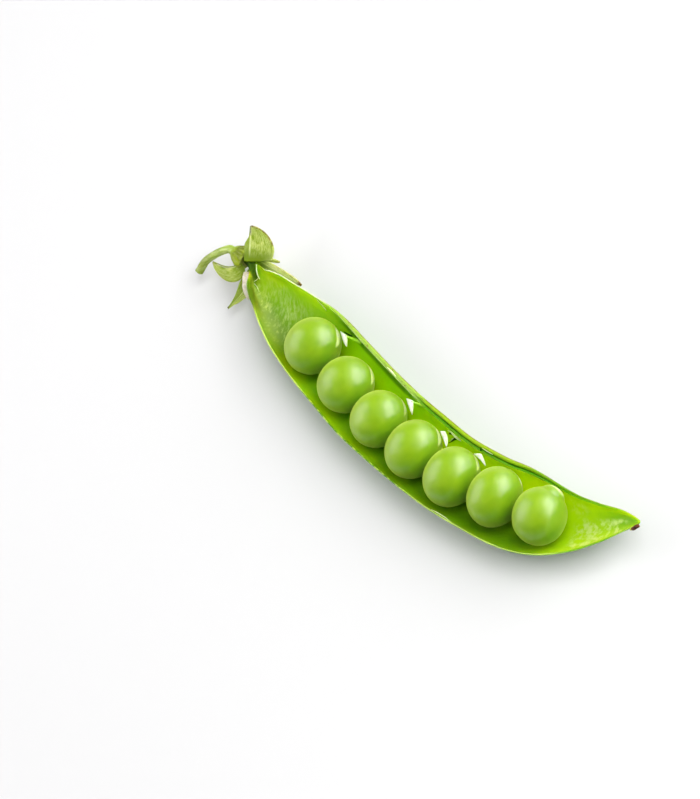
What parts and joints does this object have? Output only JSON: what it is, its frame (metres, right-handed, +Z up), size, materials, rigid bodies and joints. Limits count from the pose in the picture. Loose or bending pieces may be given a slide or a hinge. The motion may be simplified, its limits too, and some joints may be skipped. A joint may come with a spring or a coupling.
{
  "type": "pea pod",
  "caption": "Opened half of a pea pod lying on its curved back, with its row of round peas on short stalks, a leafy calyx, a piece of curved stem and the dried tip",
  "frame": {"origin": "on the resting surface, under the middle of the whole object's box", "axes": "+X from the cut stem to the pod's tip, +Y towards the ventral seam that the peas hang from, +Z up; the open side faces up"},
  "size_m": [0.1028, 0.0234, 0.0113],
  "materials": {
    "pod_skin": "waxy green pod wall, darker inside, pale cut edges",
    "pea_skin": "smooth, waxy, light yellow-green",
    "calyx_leaf": "matt pale yellow-green leaf with fine veins and brown-grey edges",
    "stem_skin": "matt pale green stem with a light streak",
    "dried_flower": "dry, papery, whitish pink",
    "dried_style": "dry, shrivelled, dark brown"
  },
  "bodies": {
    "root": {"pod_shell": "pod_skin", "pea_1": "pea_skin", "pea_2": "pea_skin", "pea_3": "pea_skin", "pea_4": "pea_skin", "pea_5": "pea_skin", "pea_6": "pea_skin", "pea_7": "pea_skin", "calyx": "calyx_leaf", "pedicel": "stem_skin", "dried_stamens": "dried_flower", "style_remnant": "dried_style"}
  },
  "joints": []
}
